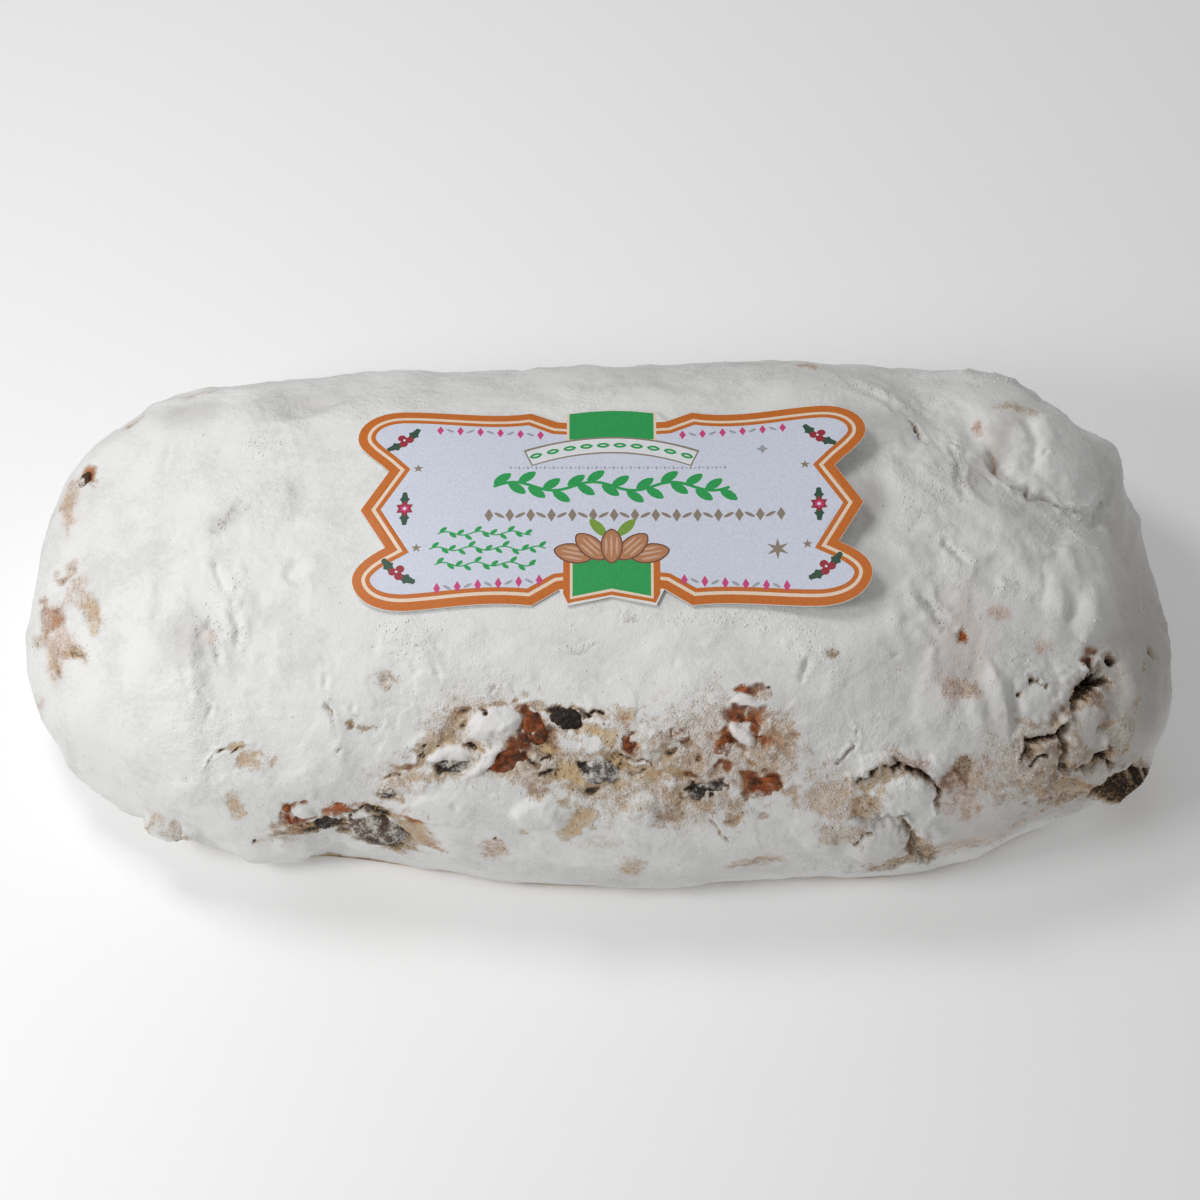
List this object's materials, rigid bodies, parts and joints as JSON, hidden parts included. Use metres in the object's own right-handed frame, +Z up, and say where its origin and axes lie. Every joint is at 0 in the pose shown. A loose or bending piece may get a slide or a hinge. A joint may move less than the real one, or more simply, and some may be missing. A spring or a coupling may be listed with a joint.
{
  "type": "stollen",
  "caption": "Whole oval stollen thickly coated with icing sugar, with raisins and candied peel showing at its skin and a die-cut paper label on its crest.",
  "frame": {"origin": "middle of the flat underside, on the surface the loaf rests on", "axes": "+X along the loaf to its right end, -Y towards its front, +Z up"},
  "size_m": [0.2818, 0.1418, 0.0729],
  "materials": {
    "icing_sugar": "matt powder, with brown crust showing through where it has rubbed off",
    "raisin": "wrinkled, faint sheen under a dusting of sugar",
    "candied_peel": "translucent and glossy",
    "label_card": "printed satin card"
  },
  "bodies": {
    "root": {"loaf": "icing_sugar", "raisin_01": "raisin", "raisin_02": "raisin", "raisin_03": "raisin", "raisin_04": "raisin", "raisin_05": "raisin", "raisin_06": "raisin", "raisin_07": "raisin", "raisin_08": "raisin", "raisin_09": "raisin", "candied_peel_01": "candied_peel", "candied_peel_02": "candied_peel", "candied_peel_03": "candied_peel", "candied_peel_04": "candied_peel", "candied_peel_05": "candied_peel", "candied_peel_06": "candied_peel", "candied_peel_07": "candied_peel", "candied_peel_08": "candied_peel", "candied_peel_09": "candied_peel", "candied_peel_10": "candied_peel", "candied_peel_11": "candied_peel", "label": "label_card"}
  },
  "joints": []
}
